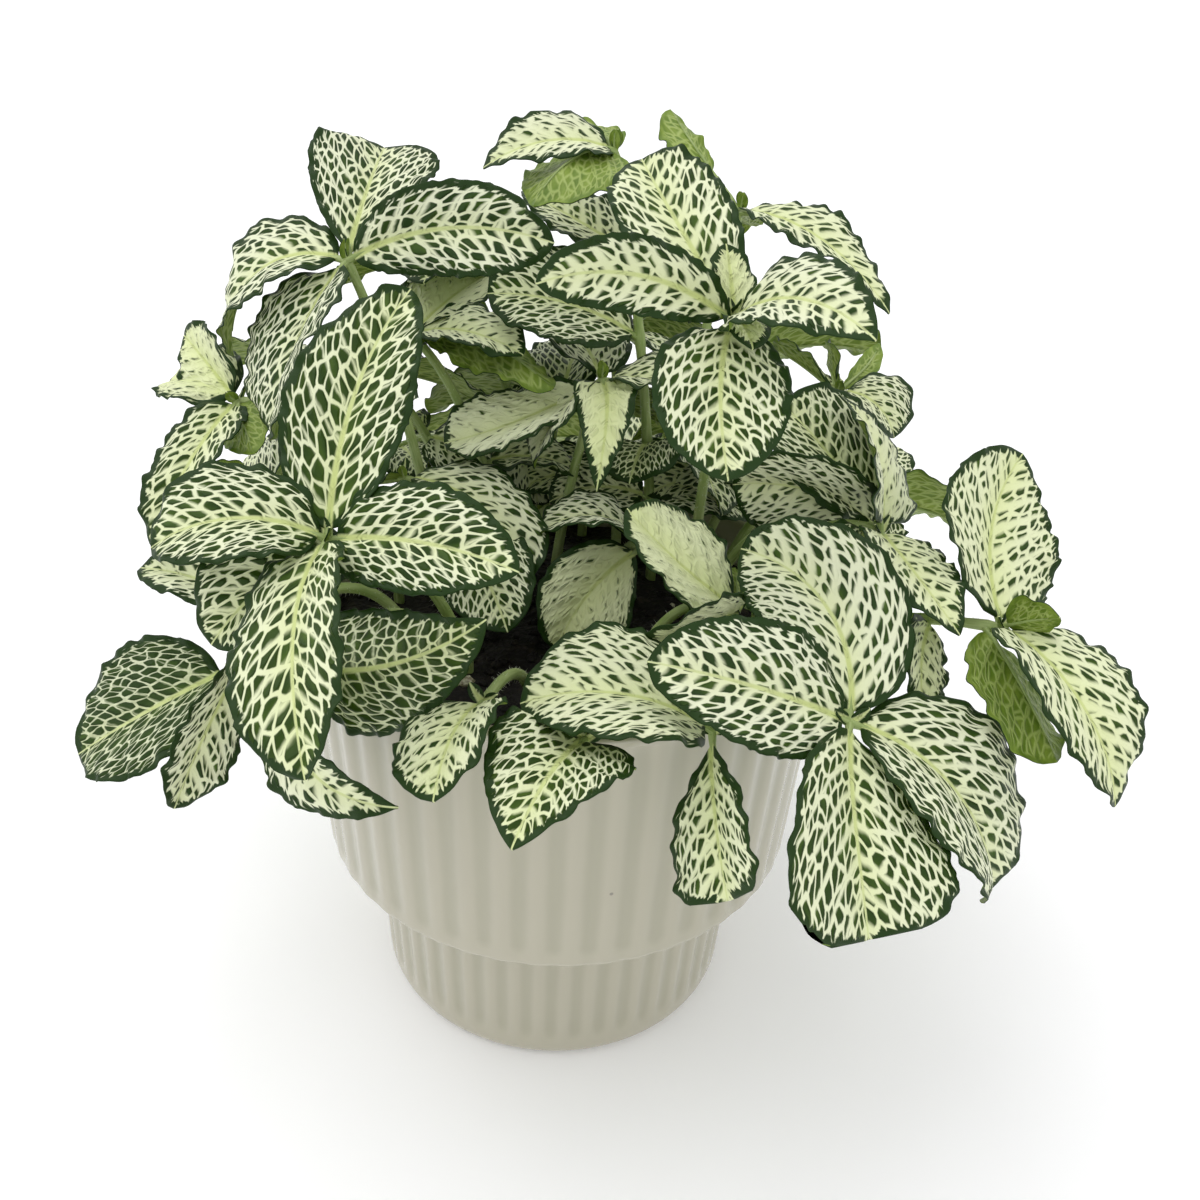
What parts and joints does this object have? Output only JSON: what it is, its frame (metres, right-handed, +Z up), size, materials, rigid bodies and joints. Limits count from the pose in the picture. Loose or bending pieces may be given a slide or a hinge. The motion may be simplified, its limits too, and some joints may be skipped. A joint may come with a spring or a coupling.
{
  "type": "potted nerve plant",
  "caption": "Bushy house plant with white-veined dark green leaves on trailing stems, in a stepped, ribbed, pale glazed pot.",
  "frame": {"origin": "middle of the pot's flat foot, on the surface that it stands on", "axes": "+Z up along the pot's axis, -Y towards the side that the picture shows, +X to its right"},
  "size_m": [0.2525, 0.2617, 0.235],
  "materials": {
    "glazed_pot": "glossy off-white glaze with a faint green-grey cast",
    "potting_soil": "dark, moist, crumbly potting soil",
    "foliage": "dark green blades with a raised net of cream veins, olive undersides and finely haired green stems"
  },
  "bodies": {
    "root": {"pot": "glazed_pot", "soil": "potting_soil", "stem_back": "foliage", "stem_back_high": "foliage", "stem_back_left": "foliage", "stem_back_middle": "foliage", "stem_back_right": "foliage", "stem_back_top_left": "foliage", "stem_far_right": "foliage", "stem_front": "foliage", "stem_front_hanging": "foliage", "stem_front_left": "foliage", "stem_front_middle": "foliage", "stem_front_right": "foliage", "stem_heart": "foliage", "stem_heart_right": "foliage", "stem_left_back": "foliage", "stem_left_high": "foliage", "stem_left_low": "foliage", "stem_left_rim": "foliage", "stem_middle": "foliage", "stem_middle_left": "foliage", "stem_right_back": "foliage", "stem_right_edge": "foliage", "stem_right_high": "foliage", "stem_right_middle": "foliage", "stem_rim_back": "foliage", "stem_rim_back_left": "foliage", "stem_rim_left": "foliage", "stem_rim_right": "foliage", "stem_top": "foliage", "stem_under_left": "foliage"}
  },
  "joints": []
}
